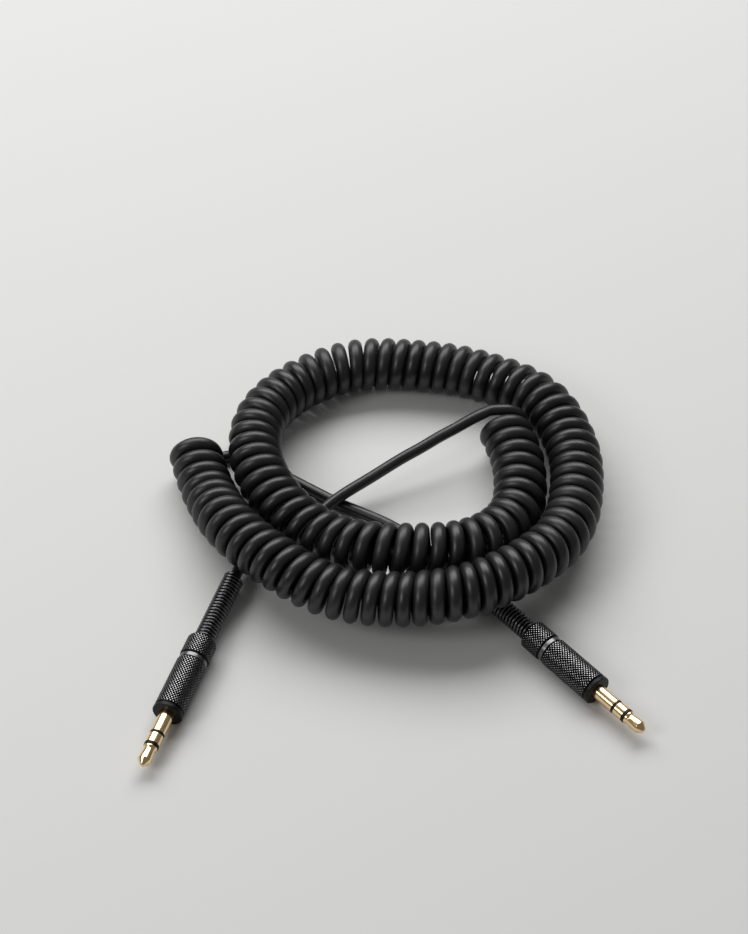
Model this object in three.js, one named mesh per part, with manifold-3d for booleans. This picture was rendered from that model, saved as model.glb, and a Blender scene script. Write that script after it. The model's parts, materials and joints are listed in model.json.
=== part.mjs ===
// A curly stereo audio lead, lying in a loose coil of one and a half turns, with a 3.5 mm
// three-contact jack plug on each end. Each plug is built as it comes apart on a bench: coaxial
// contacts and insulators, a knurled shell that unscrews, a band, a rear cap, a wire spring that
// guards the cord, and three wires inside. Millimetres, +Z up, the floor at z = 0.
import * as THREE from "three";
import { mergeVertices } from "three/addons/utils/BufferGeometryUtils.js";
import Module from "manifold-3d";

// ---- Driving dimensions ---------------------------------------------------------------------

// The cord and its curls.
const CORD_DIAMETER = 2.7;
const CURL_DIAMETER = 13.1; // outside
const CURLS = 95.5;
const CURL_STEPS = 8;
const CURL_SIDES = 5;
const TAIL_SIDES = 8;
const TAIL_STEP = 5.6; // about two cord diameters
const TAIL_STRAIGHT_PARTS = 4; // points along the straight stretch inside a plug
const END_GAP = 0.3; // between the end faces of two stretches of cord
const TAIL_LEAD = 0.5; // how far a tail runs straight on before its route

// The pin, measured forward from its root at the collar's front face.
const PIN_DIAMETER = 3.5;
const PIN_LENGTH = 15;
const SLEEVE_LENGTH = 5.7;
const RING_LENGTH = 2.5;
const INSULATOR_WIDTH = 0.6; // what shows of each black ring between two contacts
const TIP_FLANGE_LENGTH = 0.6;
const TIP_FLANGE_DIAMETER = 3.25;
const TIP_NECK_LENGTH = 0.5; // its waist, between the two slopes
const TIP_NECK_REAR_SLOPE = 0.4;
const TIP_NECK_FRONT_SLOPE = 1.2;
const TIP_NECK_DIAMETER = 2.6;
const TIP_HEAD_LENGTH = 0.6; // its round edge, behind the cone
const TIP_HEAD_DIAMETER = 3.1;
const TIP_END_DIAMETER = 0.9;

// The coaxial layers inside the pin, from the middle out.
const TIP_ROD_DIAMETER = 0.8;
const INNER_WALL = 0.25; // wall of the tip insulator and of the ring contact
const OUTER_WALL = 0.2; // wall of the ring insulator
const FIT = 0.1; // clearance between pieces that fit in or on each other

// The solder end, behind the spigot.
const WASHER_THICKNESS = 0.5;
const TIP_INSULATOR_WASHER = 2.8; // diameter
const RING_INSULATOR_RIM = 0.1; // how far its washer stands out past the ring contact's
const TIP_SHOULDER_DIAMETER = 2;
const TIP_LUG_LENGTH = 2;
const RING_LUG_LENGTH = 3;
const RING_LUG_THICKNESS = 0.3;
const LUG_WIDTH = 1;
const WIRE_DIAMETER = 0.7;
const WIRE_LENGTH = 4;
const GROUND_STRIP_THICKNESS = 0.25;
const GROUND_STRIP_WIDTH = 1.4;
const CLAMP_LENGTH = 3;
const CLAMP_WALL = 0.45;
const CLAMP_OPENING = 70; // degrees, open at the top
const CLAMP_SEGMENTS = 7;
const WIRE_SIDES = 6;
const WIRE_STEPS = 6;

// The shell and what it holds.
const COLLAR_LENGTH = 1;
const SPIGOT_LENGTH = 3.9;
const SHELL_DIAMETER = 7.2;
const BARREL_WALL = 0.7;
const BARREL_LENGTH = 14;
const BARREL_CHAMFER = 0.3;
const BAND_LENGTH = 1;
const REAR_CAP_LENGTH = 6;
const REAR_CAP_CHAMFER = 0.5;
const NECK_LENGTH = 3; // the rear cap's spigot inside the barrel
const LIP_LENGTH = 0.5; // the ledge in the rear cap that the spring stands on
const LINER_WALL = 0.25; // the plastic tube round the solder joints
const SPRING_DIAMETER = 5;
const SPRING_WALL = 0.75; // its wire
const SPRING_SEAT = 3.6; // the length held in the rear cap
const SPRING_FREE_LENGTH = 20;
const BORE_CLEARANCE = 0.2; // round the cord in the lip, and round the clamp in the neck
const SHELL_TRAVEL = 2; // four turns of a 0.5 mm thread

// Facets round a plug's turned pieces.
const INNER_FACETS = 16;
const OUTER_FACETS = 24;

// Where the plugs lie: the pin's root on the floor plan, and the turn of the pin from -Y to +X.
const PLUGS = {
  left: { root: [-51.03, -13.24], turn: -19 },
  right: { root: [46.55, -6.64], turn: 41 },
};

// The curly cord's middle line, from its outer end on the left to its inner end on the right.
// The curls are shared out evenly between these points. It rises where it lies over a tail.
const CURLY_ROUTE = [
  [-48.3, 64.1, 6.8], [-44.0, 50.2, 7.1], [-37.8, 36.2, 10.7], [-27.2, 24.7, 11.7],
  [-14.7, 17.2, 10.65], [0.2, 14.0, 11.2], [15.7, 14.7, 13.0], [29.5, 21.6, 13.2],
  [40.1, 33.6, 11.1], [44.2, 48.5, 9.2], [44.0, 66.2, 7.0], [36.9, 81.6, 6.8],
  [21.5, 90.2, 6.75], [6.5, 93.3, 6.9], [-9.5, 93.2, 6.95], [-23.9, 85.8, 6.95],
  [-32.3, 72.3, 9.1], [-32.4, 56.6, 10.6], [-25.4, 42.6, 10.0], [-14.6, 32.9, 10.35],
  [-0.4, 27.6, 12.7], [18.0, 30.0, 11.65], [29.0, 41.8, 8.35], [30.9, 58.5, 7.1],
  [27.2, 73.3, 7.15],
];

// Each tail from where it leaves the curls to just short of its plug's spring. The left plug's
// tail leaves the inner end from the top of the last curl and lies over the other one.
const TAIL_ROUTES = {
  left: [
    [21.6, 71.1, 12.4], [19.2, 69.9, 11.9], [15.5, 67.9, 11.0], [11.8, 65.8, 10.4],
    [6.9, 62.9, 9.3], [2.0, 60.3, 8.1], [-5.1, 56.1, 6.2], [-12.2, 51.6, 4.7],
    [-17.5, 47.5, 3.1], [-22.9, 42.8, 1.6], [-28.3, 38.1, 1.6], [-33.1, 33.4, 2.2],
  ],
  right: [
    [-38.1, 67.7, 1.5], [-32.1, 64.7, 1.5], [-25.9, 60.5, 1.5], [-19.7, 56.3, 1.5],
    [-13.3, 52.1, 1.5], [-6.7, 48.5, 1.5], [-0.3, 44.7, 1.5], [5.9, 39.5, 1.5],
    [11.3, 33.9, 1.9],
  ],
};

// ---- Places along a plug, worked out from the sizes (x forward, 0 at the pin's root) ----------

const pinRadius = PIN_DIAMETER / 2;
const cordRadius = CORD_DIAMETER / 2;
const shellRadius = SHELL_DIAMETER / 2;
const rodRadius = TIP_ROD_DIAMETER / 2;
const tipInsulatorBore = rodRadius + FIT;
const ringLugInside = TIP_INSULATOR_WASHER / 2 + FIT;
const ringLugOutside = ringLugInside + RING_LUG_THICKNESS;
const ringContactWasherRadius = ringLugOutside + FIT;
const ringInsulatorWasherRadius = ringContactWasherRadius + RING_INSULATOR_RIM;
const tipInsulatorRadius = tipInsulatorBore + INNER_WALL;
const ringBore = tipInsulatorRadius + FIT;
const ringTubeRadius = ringBore + INNER_WALL;
const ringInsulatorBore = ringTubeRadius + FIT;
const ringInsulatorRadius = ringInsulatorBore + OUTER_WALL;
const sleeveBore = ringInsulatorRadius + FIT;

const ringInsulatorFront = SLEEVE_LENGTH + INSULATOR_WIDTH;
const ringRear = ringInsulatorFront + FIT;
const ringFront = ringRear + RING_LENGTH;
const tipInsulatorRear = ringFront + FIT;
const tipInsulatorFront = tipInsulatorRear + INSULATOR_WIDTH;
const tipRear = tipInsulatorFront + FIT;

const spigotFront = -COLLAR_LENGTH - FIT;
const spigotRear = spigotFront - SPIGOT_LENGTH;
const ringInsulatorEnd = spigotRear - FIT - WASHER_THICKNESS;
const ringContactEnd = ringInsulatorEnd - FIT - WASHER_THICKNESS;
const tipInsulatorEnd = ringContactEnd - FIT - WASHER_THICKNESS;
const tipShoulderEnd = tipInsulatorEnd - FIT - WASHER_THICKNESS;
const tipLugEnd = tipShoulderEnd - TIP_LUG_LENGTH;
const jacketEnd = tipLugEnd - WIRE_LENGTH - 2 * END_GAP;
const clampFront = jacketEnd - END_GAP;
const clampRear = clampFront - CLAMP_LENGTH;
const clampRadius = cordRadius + FIT + CLAMP_WALL;
const groundStripTop = -clampRadius + GROUND_STRIP_THICKNESS;

const barrelFront = spigotFront;
const barrelRear = barrelFront - BARREL_LENGTH;
const barrelBore = shellRadius - BARREL_WALL;
const spigotRadius = barrelBore - FIT;
const bandFront = barrelRear - FIT;
const bandRear = bandFront - BAND_LENGTH;
const rearCapFront = bandRear - FIT;
const rearCapRear = rearCapFront - REAR_CAP_LENGTH;
const neckFront = barrelRear + NECK_LENGTH;
const neckRadius = barrelBore - FIT;
const neckBore = Math.hypot(clampRadius, GROUND_STRIP_WIDTH / 2) + BORE_CLEARANCE;
const springFront = rearCapRear + SPRING_SEAT;
const springRear = rearCapRear - SPRING_FREE_LENGTH;
const springRadius = SPRING_DIAMETER / 2;
const springPocketRadius = springRadius + FIT;
const springBore = springRadius - SPRING_WALL;
const lipRear = springFront + FIT;
const lipFront = lipRear + LIP_LENGTH;
const cordBore = cordRadius + BORE_CLEARANCE;
const linerRadius = barrelBore - FIT;
const linerFront = spigotRear - FIT;
const linerRear = neckFront + END_GAP;
const tailStraightEnd = springRear - SHELL_TRAVEL - END_GAP;

// ---- Materials --------------------------------------------------------------------------------

function finish(color, roughness, metalness) {
  return () => new THREE.MeshStandardMaterial({ color, roughness, metalness });
}
const satinBlackCord = finish(0x1b1b1c, 0.42, 0);
const goldPlate = finish(0xd9a95a, 0.22, 1);
const blackPlastic = finish(0x111112, 0.35, 0);
const blackAnodised = finish(0x2a2b2d, 0.35, 0.9);
const brightSteel = finish(0xc9cbce, 0.2, 1);
const blackSteel = finish(0x18191a, 0.3, 0.85);
const clearPlastic = finish(0xd8dad6, 0.3, 0);
const wireInsulation = {
  tip: finish(0xb3261e, 0.5, 0),
  ring: finish(0xe6e6e2, 0.5, 0),
  ground: finish(0x2f6b3a, 0.5, 0),
};

// ---- Shape helpers ----------------------------------------------------------------------------

const wasm = await Module();
wasm.setup();

function piece(name, geometry, material) {
  const mesh = new THREE.Mesh(geometry, material());
  mesh.name = name;
  return mesh;
}

// A turned piece about the plug's X axis. The profile's points are [x, radius], and go round
// the section clockwise, with x to the right and the radius up.
function turned(profile, facets) {
  const points = profile.map(([x, radius]) => new THREE.Vector2(radius, x));
  return new THREE.LatheGeometry(points, facets).rotateZ(-Math.PI / 2);
}

// A plain tube from rear to front.
function tube(rear, front, bore, radius) {
  const profile = [[rear, bore], [rear, radius], [front, radius], [front, bore], [rear, bore]];
  return turned(profile, OUTER_FACETS);
}

function block(fromX, toX, fromY, toY, fromZ, toZ) {
  const box = new THREE.BoxGeometry(toX - fromX, toY - fromY, toZ - fromZ);
  return box.translate((fromX + toX) / 2, (fromY + toY) / 2, (fromZ + toZ) / 2);
}

function toSolid(geometry) {
  const bare = geometry.clone();
  bare.deleteAttribute("normal");
  bare.deleteAttribute("uv");
  const merged = mergeVertices(bare);
  return new wasm.Manifold(
    new wasm.Mesh({
      numProp: 3,
      vertProperties: merged.getAttribute("position").array,
      triVerts: new Uint32Array(merged.index.array),
    }),
  );
}

function joined(...geometries) {
  const solid = geometries.map(toSolid).reduce((sum, next) => sum.add(next));
  const mesh = solid.getMesh();
  const geometry = new THREE.BufferGeometry();
  geometry.setAttribute("position", new THREE.BufferAttribute(mesh.vertProperties, 3));
  geometry.setIndex(new THREE.BufferAttribute(mesh.triVerts, 1));
  geometry.computeVertexNormals();
  return geometry;
}

// A round bar of the given sides swept along a curve.
function swept(curve, radius, sides, steps) {
  const section = new THREE.Shape();
  for (let side = 0; side < sides; side++) {
    const angle = (2 * Math.PI * side) / sides;
    const corner = [radius * Math.cos(angle), radius * Math.sin(angle)];
    if (side === 0) section.moveTo(...corner);
    else section.lineTo(...corner);
  }
  section.closePath();
  return new THREE.ExtrudeGeometry(section, { steps, bevelEnabled: false, extrudePath: curve });
}

// ---- The pieces of a plug ---------------------------------------------------------------------

function tipContact() {
  const shoulderFront = tipShoulderEnd + WASHER_THICKNESS;
  const flangeFront = tipRear + TIP_FLANGE_LENGTH;
  const waistRear = flangeFront + TIP_NECK_REAR_SLOPE;
  const waistFront = waistRear + TIP_NECK_LENGTH;
  const headRear = waistFront + TIP_NECK_FRONT_SLOPE;
  const headFront = headRear + TIP_HEAD_LENGTH;
  return turned(
    [
      [tipLugEnd, 0],
      [tipLugEnd, rodRadius],
      [tipShoulderEnd, rodRadius],
      [tipShoulderEnd, TIP_SHOULDER_DIAMETER / 2],
      [shoulderFront, TIP_SHOULDER_DIAMETER / 2],
      [shoulderFront, rodRadius],
      [tipRear, rodRadius],
      [tipRear, TIP_FLANGE_DIAMETER / 2],
      [flangeFront, TIP_FLANGE_DIAMETER / 2],
      [waistRear, TIP_NECK_DIAMETER / 2],
      [waistFront, TIP_NECK_DIAMETER / 2],
      [headRear, TIP_HEAD_DIAMETER / 2],
      [headFront, TIP_HEAD_DIAMETER / 2],
      [PIN_LENGTH, TIP_END_DIAMETER / 2],
      [PIN_LENGTH, 0],
    ],
    INNER_FACETS,
  );
}

function tipInsulator() {
  return turned(
    [
      [tipInsulatorEnd, tipInsulatorBore],
      [tipInsulatorEnd, TIP_INSULATOR_WASHER / 2],
      [tipInsulatorEnd + WASHER_THICKNESS, TIP_INSULATOR_WASHER / 2],
      [tipInsulatorEnd + WASHER_THICKNESS, tipInsulatorRadius],
      [tipInsulatorRear, tipInsulatorRadius],
      [tipInsulatorRear, pinRadius],
      [tipInsulatorFront, pinRadius],
      [tipInsulatorFront, tipInsulatorBore],
      [tipInsulatorEnd, tipInsulatorBore],
    ],
    INNER_FACETS,
  );
}

function ringContact() {
  const body = turned(
    [
      [ringContactEnd, ringBore],
      [ringContactEnd, ringContactWasherRadius],
      [ringContactEnd + WASHER_THICKNESS, ringContactWasherRadius],
      [ringContactEnd + WASHER_THICKNESS, ringTubeRadius],
      [ringRear, ringTubeRadius],
      [ringRear, pinRadius],
      [ringFront, pinRadius],
      [ringFront, ringBore],
      [ringContactEnd, ringBore],
    ],
    INNER_FACETS,
  );
  const lug = block(
    ringContactEnd - RING_LUG_LENGTH,
    ringContactEnd + WASHER_THICKNESS / 2,
    ringLugInside,
    ringLugOutside,
    -LUG_WIDTH / 2,
    LUG_WIDTH / 2,
  );
  return joined(body, lug);
}

function ringInsulator() {
  return turned(
    [
      [ringInsulatorEnd, ringInsulatorBore],
      [ringInsulatorEnd, ringInsulatorWasherRadius],
      [ringInsulatorEnd + WASHER_THICKNESS, ringInsulatorWasherRadius],
      [ringInsulatorEnd + WASHER_THICKNESS, ringInsulatorRadius],
      [SLEEVE_LENGTH + FIT, ringInsulatorRadius],
      [SLEEVE_LENGTH + FIT, pinRadius],
      [ringInsulatorFront, pinRadius],
      [ringInsulatorFront, ringInsulatorBore],
      [ringInsulatorEnd, ringInsulatorBore],
    ],
    INNER_FACETS,
  );
}

// The cable clamp: a strip that wraps the cord's jacket, open at the top.
function clampGeometry() {
  const start = THREE.MathUtils.degToRad(90 + CLAMP_OPENING / 2);
  const end = THREE.MathUtils.degToRad(450 - CLAMP_OPENING / 2);
  const section = new THREE.Shape();
  section.absarc(0, 0, clampRadius, start, end, false);
  section.absarc(0, 0, clampRadius - CLAMP_WALL, end, start, true);
  section.closePath();
  const settings = { depth: CLAMP_LENGTH, bevelEnabled: false, curveSegments: CLAMP_SEGMENTS };
  const wrap = new THREE.ExtrudeGeometry(section, settings);
  wrap.rotateX(Math.PI / 2); // the section's height becomes +Z, its depth -Y
  return wrap.rotateZ(-Math.PI / 2).translate(clampFront, 0, 0);
}

// A strip runs back from the spigot under the other contacts' washers, steps up behind their
// lugs and ends in the cable clamp.
function sleeveContact() {
  const body = turned(
    [
      [spigotRear, sleeveBore],
      [spigotRear, spigotRadius],
      [spigotFront, spigotRadius],
      [spigotFront, pinRadius],
      [SLEEVE_LENGTH, pinRadius],
      [SLEEVE_LENGTH, sleeveBore],
      [spigotRear, sleeveBore],
    ],
    INNER_FACETS,
  );
  const strip = (rear, front, bottom, top) =>
    block(rear, front, -GROUND_STRIP_WIDTH / 2, GROUND_STRIP_WIDTH / 2, bottom, top);
  const outerTop = -ringInsulatorWasherRadius - FIT;
  const outerBottom = outerTop - GROUND_STRIP_THICKNESS;
  const stepRear = tipLugEnd - GROUND_STRIP_THICKNESS;
  return joined(
    body,
    strip(stepRear, spigotRear + FIT, outerBottom, outerTop),
    strip(stepRear, tipLugEnd, outerBottom, groundStripTop),
    strip(clampRear, tipLugEnd, -clampRadius, groundStripTop),
    clampGeometry(),
  );
}

function frontCollar() {
  const edge = BARREL_CHAMFER / 2;
  return turned(
    [
      [-COLLAR_LENGTH, pinRadius + FIT],
      [-COLLAR_LENGTH, shellRadius],
      [-edge, shellRadius],
      [0, shellRadius - edge],
      [0, pinRadius + FIT],
      [-COLLAR_LENGTH, pinRadius + FIT],
    ],
    OUTER_FACETS,
  );
}

function barrel() {
  return turned(
    [
      [barrelRear, barrelBore],
      [barrelRear, shellRadius - BARREL_CHAMFER],
      [barrelRear + BARREL_CHAMFER, shellRadius],
      [barrelFront - BARREL_CHAMFER, shellRadius],
      [barrelFront, shellRadius - BARREL_CHAMFER],
      [barrelFront, barrelBore],
      [barrelRear, barrelBore],
    ],
    OUTER_FACETS,
  );
}

function rearCap() {
  return turned(
    [
      [rearCapRear, springPocketRadius],
      [rearCapRear, shellRadius - REAR_CAP_CHAMFER],
      [rearCapRear + REAR_CAP_CHAMFER, shellRadius],
      [rearCapFront, shellRadius],
      [rearCapFront, neckRadius],
      [neckFront, neckRadius],
      [neckFront, neckBore],
      [lipFront, neckBore],
      [lipFront, cordBore],
      [lipRear, cordBore],
      [lipRear, springPocketRadius],
      [rearCapRear, springPocketRadius],
    ],
    OUTER_FACETS,
  );
}

function wire(from, to) {
  const third = (to[0] - from[0]) / 3;
  const curve = new THREE.CubicBezierCurve3(
    new THREE.Vector3(...from),
    new THREE.Vector3(from[0] + third, from[1], from[2]),
    new THREE.Vector3(to[0] - third, to[1], to[2]),
    new THREE.Vector3(...to),
  );
  return swept(curve, WIRE_DIAMETER / 2, WIRE_SIDES, WIRE_STEPS);
}

// The three wires fan out of the jacket's end: to the tip's lug, to the ring's lug and down to
// the ground strip.
function addWires(plug, side) {
  const wireRadius = WIRE_DIAMETER / 2;
  const start = jacketEnd + END_GAP;
  const spread = cordRadius - wireRadius - FIT;
  const lugY = (ringLugInside + ringLugOutside) / 2;
  const ringLugEnd = ringContactEnd - RING_LUG_LENGTH;
  const groundWireZ = groundStripTop + FIT + wireRadius;
  const ends = {
    tip: [[start, -spread / 2, spread / 2], [tipLugEnd - END_GAP, 0, 0]],
    ring: [[start, spread, -spread / 4], [ringLugEnd - END_GAP, lugY, 0]],
    ground: [[start, -spread / 2, -spread / 2], [tipLugEnd - END_GAP, 0, groundWireZ]],
  };
  for (const [use, [from, to]] of Object.entries(ends)) {
    plug.add(piece(`${side}_${use}_wire`, wire(from, to), wireInsulation[use]));
  }
}

function makePlug(side) {
  const { root, turn } = PLUGS[side];
  const plug = new THREE.Group();
  const add = (name, geometry, material) => plug.add(piece(`${side}_${name}`, geometry, material));
  add("tip_contact", tipContact(), goldPlate);
  add("tip_insulator", tipInsulator(), blackPlastic);
  add("ring_contact", ringContact(), goldPlate);
  add("ring_insulator", ringInsulator(), blackPlastic);
  add("sleeve_contact", sleeveContact(), goldPlate);
  add("front_collar", frontCollar(), blackPlastic);
  add("barrel", barrel(), blackAnodised);
  add("band_ring", tube(bandRear, bandFront, barrelBore, shellRadius), brightSteel);
  add("rear_cap", rearCap(), blackAnodised);
  add("spring", tube(springRear, springFront, springBore, springRadius), blackSteel);
  add("liner", tube(linerRear, linerFront, linerRadius - LINER_WALL, linerRadius), clearPlastic);
  addWires(plug, side);
  plug.position.set(root[0], root[1], shellRadius);
  plug.rotation.z = THREE.MathUtils.degToRad(turn - 90);
  plug.updateMatrix();
  return plug;
}

// ---- The curly cord ---------------------------------------------------------------------------

const curlRadius = CURL_DIAMETER / 2 - cordRadius;
const curlyRoute = new THREE.CatmullRomCurve3(
  CURLY_ROUTE.map((point) => new THREE.Vector3(...point)), false, "catmullrom", 0.5,
);

// The middle of the cord after a number of curls, and the direction out from the curl's axis.
// It starts at the bottom of the first curl and winds to the left, seen along the route.
function onCurl(curl) {
  const share = THREE.MathUtils.clamp(curl / CURLS, 0, 1);
  const along = curlyRoute.getTangent(share);
  const aside = new THREE.Vector3().crossVectors(along, new THREE.Vector3(0, 0, 1)).normalize();
  const over = new THREE.Vector3().crossVectors(aside, along);
  const angle = Math.PI + 2 * Math.PI * curl;
  const outward = over.multiplyScalar(Math.cos(angle)).addScaledVector(aside, -Math.sin(angle));
  const middle = curlyRoute.getPoint(share).addScaledVector(outward, curlRadius);
  return { middle, outward };
}

// The cord's direction at a place on the curls, taken across a small part of a curl.
function alongCurl(curl) {
  const reach = 0.01;
  const before = onCurl(Math.max(curl - reach, 0)).middle;
  const after = onCurl(Math.min(curl + reach, CURLS)).middle;
  return after.sub(before).normalize();
}

// The rings' places: one straight cord diameter, the curls, and one more straight diameter.
function curlyRings() {
  const rings = [];
  const count = CURLS * CURL_STEPS;
  for (let step = 0; step <= count; step++) {
    const curl = step / CURL_STEPS;
    rings.push({ ...onCurl(curl), along: alongCurl(curl) });
  }
  const first = rings[0];
  const last = rings[rings.length - 1];
  const startMiddle = first.middle.clone().addScaledVector(first.along, -CORD_DIAMETER);
  const endMiddle = last.middle.clone().addScaledVector(last.along, CORD_DIAMETER);
  return [{ ...first, middle: startMiddle }, ...rings, { ...last, middle: endMiddle }];
}

function curlyGeometry(rings) {
  const corners = [];
  const faces = [];
  for (const { middle, outward, along } of rings) {
    const out = outward.clone().addScaledVector(along, -outward.dot(along)).normalize();
    const across = new THREE.Vector3().crossVectors(along, out);
    for (let side = 0; side < CURL_SIDES; side++) {
      const angle = (2 * Math.PI * side) / CURL_SIDES;
      const corner = middle.clone();
      corner.addScaledVector(out, cordRadius * Math.cos(angle));
      corner.addScaledVector(across, cordRadius * Math.sin(angle));
      corners.push(corner.x, corner.y, corner.z);
    }
  }
  for (let ring = 0; ring + 1 < rings.length; ring++) {
    for (let side = 0; side < CURL_SIDES; side++) {
      const here = ring * CURL_SIDES + side;
      const beside = ring * CURL_SIDES + ((side + 1) % CURL_SIDES);
      faces.push(here, beside, beside + CURL_SIDES, here, beside + CURL_SIDES, here + CURL_SIDES);
    }
  }
  const lastRing = (rings.length - 1) * CURL_SIDES;
  for (let side = 1; side + 1 < CURL_SIDES; side++) {
    faces.push(0, side + 1, side, lastRing, lastRing + side, lastRing + side + 1);
  }
  const geometry = new THREE.BufferGeometry();
  geometry.setAttribute("position", new THREE.Float32BufferAttribute(corners, 3));
  geometry.setIndex(faces);
  geometry.computeVertexNormals();
  return geometry;
}

// The least clear space between the cord and itself, on points along its middle line that lie
// more than half a curl apart.
function leastGapToItself() {
  const perCurl = 24;
  const middles = [];
  for (let step = 0; step <= CURLS * perCurl; step++) {
    middles.push(onCurl(step / perCurl).middle);
  }
  let least = Infinity;
  for (let one = 0; one < middles.length; one++) {
    for (let other = one + perCurl / 2; other < middles.length; other++) {
      least = Math.min(least, middles[one].distanceToSquared(middles[other]));
    }
  }
  return Math.sqrt(least) - CORD_DIAMETER;
}

// ---- The tails --------------------------------------------------------------------------------

// A tail runs straight on from the curls' end, along its route, and straight through its plug's
// spring and shell to the clamp.
function tailGeometry(side, plug, end) {
  const leaving = (distance) => end.middle.clone().addScaledVector(end.outOfCurls, distance);
  const inPlug = (x) => new THREE.Vector3(x, 0, 0).applyMatrix4(plug.matrix);
  const points = [
    leaving(END_GAP),
    leaving(END_GAP + TAIL_LEAD),
    ...TAIL_ROUTES[side].map((point) => new THREE.Vector3(...point)),
    inPlug(tailStraightEnd - CORD_DIAMETER),
  ];
  for (let part = 0; part <= TAIL_STRAIGHT_PARTS; part++) {
    points.push(inPlug(THREE.MathUtils.lerp(tailStraightEnd, jacketEnd, part / TAIL_STRAIGHT_PARTS)));
  }
  const curve = new THREE.CatmullRomCurve3(points, false, "catmullrom", 0.5);
  return swept(curve, cordRadius, TAIL_SIDES, Math.round(curve.getLength() / TAIL_STEP));
}

// ---- The whole lead ---------------------------------------------------------------------------

const rings = curlyRings();
const outerEnd = { middle: rings[0].middle, outOfCurls: rings[0].along.clone().negate() };
const innerEnd = { middle: rings[rings.length - 1].middle, outOfCurls: rings[rings.length - 1].along };

const plugs = { left: makePlug("left"), right: makePlug("right") };

const lead = new THREE.Group();
lead.add(plugs.left, plugs.right);

// The part's origin is on the floor, in the middle of the two plugs' box.
const plugsMiddle = new THREE.Box3().setFromObject(lead, true).getCenter(new THREE.Vector3());
lead.position.set(-plugsMiddle.x, -plugsMiddle.y, 0);

lead.add(piece("curly_cord", curlyGeometry(rings), satinBlackCord));
lead.add(piece("left_tail", tailGeometry("left", plugs.left, innerEnd), satinBlackCord));
lead.add(piece("right_tail", tailGeometry("right", plugs.right, outerEnd), satinBlackCord));

console.log("least gap of the curly cord to itself:", leastGapToItself().toFixed(2), "mm");

export default lead;
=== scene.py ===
import bisect
import json
import math

import bpy
from mathutils import Matrix, Vector


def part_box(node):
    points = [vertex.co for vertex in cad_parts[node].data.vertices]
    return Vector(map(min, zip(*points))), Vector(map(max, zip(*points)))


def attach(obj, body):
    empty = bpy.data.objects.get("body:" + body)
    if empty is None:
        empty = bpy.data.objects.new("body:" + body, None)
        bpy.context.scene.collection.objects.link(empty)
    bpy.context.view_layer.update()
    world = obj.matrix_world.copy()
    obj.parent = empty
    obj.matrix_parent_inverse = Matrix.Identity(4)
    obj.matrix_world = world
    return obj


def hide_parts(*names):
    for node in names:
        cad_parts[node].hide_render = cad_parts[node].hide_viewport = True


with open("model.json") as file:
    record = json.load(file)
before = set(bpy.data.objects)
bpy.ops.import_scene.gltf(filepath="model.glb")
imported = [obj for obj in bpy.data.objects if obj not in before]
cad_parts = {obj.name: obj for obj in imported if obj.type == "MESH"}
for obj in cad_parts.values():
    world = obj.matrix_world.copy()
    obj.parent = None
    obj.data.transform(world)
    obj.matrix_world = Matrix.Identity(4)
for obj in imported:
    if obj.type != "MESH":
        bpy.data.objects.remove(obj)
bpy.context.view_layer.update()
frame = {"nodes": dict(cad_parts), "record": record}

# Every length below is in metres; MM turns a size in millimetres into one.
MM = 0.001


# ---- The view -------------------------------------------------------------------------------------
# The lead lies on a plain surface and is seen from the plugs' side, 48 degrees above that surface,
# through a long lens, with the windings about in the middle of an upright picture.
LOOK_AT = Vector((-4.33, 65.13, 0)) * MM
VIEW_ELEVATION = math.radians(48)
VIEW_DISTANCE = 0.6405
NEAREST_SEEN = 0.05
LENS_LENGTH = 100  # on a picture 36 high
PICTURE_HEIGHT = 36

camera = bpy.data.objects.new("view", bpy.data.cameras.new("view"))
camera.data.sensor_fit = "VERTICAL"
camera.data.sensor_height = PICTURE_HEIGHT
camera.data.lens = LENS_LENGTH
camera.data.clip_start = NEAREST_SEEN
camera.rotation_euler = (math.pi / 2 - VIEW_ELEVATION, 0, 0)
towards_camera = Vector((0, -math.cos(VIEW_ELEVATION), math.sin(VIEW_ELEVATION)))
camera.location = LOOK_AT + towards_camera * VIEW_DISTANCE
bpy.context.scene.collection.objects.link(camera)
bpy.context.scene.camera = camera
bpy.context.scene.view_settings.view_transform = "Standard"


# ---- The surface and the light --------------------------------------------------------------------
# A plain pale matt surface, with one large soft lamp high behind the lead, which lights the top of
# every curl, and a weaker one over the camera's left shoulder.
FLOOR_SIZE = 30
FLOOR_COLOUR = (0.66, 0.66, 0.65)
ROOM_STRENGTH = 0.16
LAMPS = {
    "back": {"place": (-0.15, 0.75, 0.85), "size": (1.6, 0.75), "watts": 16},
    "side": {"place": (-0.75, -0.35, 0.70), "size": (0.4, 0.4), "watts": 2.5},
}


def deselect_all():
    bpy.ops.object.select_all(action="DESELECT")


def new_material(name, colour, metallic=0.0, roughness=0.5, ior=1.5):
    """A material and its shader, with the values that are the same all over set on the shader."""
    material = bpy.data.materials.new(name)
    material.use_nodes = True
    shader = material.node_tree.nodes["Principled BSDF"]
    shader.inputs["Base Color"].default_value = (*colour, 1)
    shader.inputs["Metallic"].default_value = metallic
    shader.inputs["Roughness"].default_value = roughness
    shader.inputs["IOR"].default_value = ior
    return material, shader


def add_noise(material, scale, detail=4.0, coordinates="Object", stretch=(1, 1, 1)):
    """A noise pattern on the piece's own coordinates; stretch multiplies them along each axis."""
    nodes = material.node_tree.nodes
    links = material.node_tree.links
    place = nodes.new("ShaderNodeTexCoord")
    mapping = nodes.new("ShaderNodeMapping")
    noise = nodes.new("ShaderNodeTexNoise")
    mapping.inputs["Scale"].default_value = stretch
    noise.inputs["Scale"].default_value = scale
    noise.inputs["Detail"].default_value = detail
    links.new(place.outputs[coordinates], mapping.inputs["Vector"])
    links.new(mapping.outputs["Vector"], noise.inputs["Vector"])
    return noise


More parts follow.
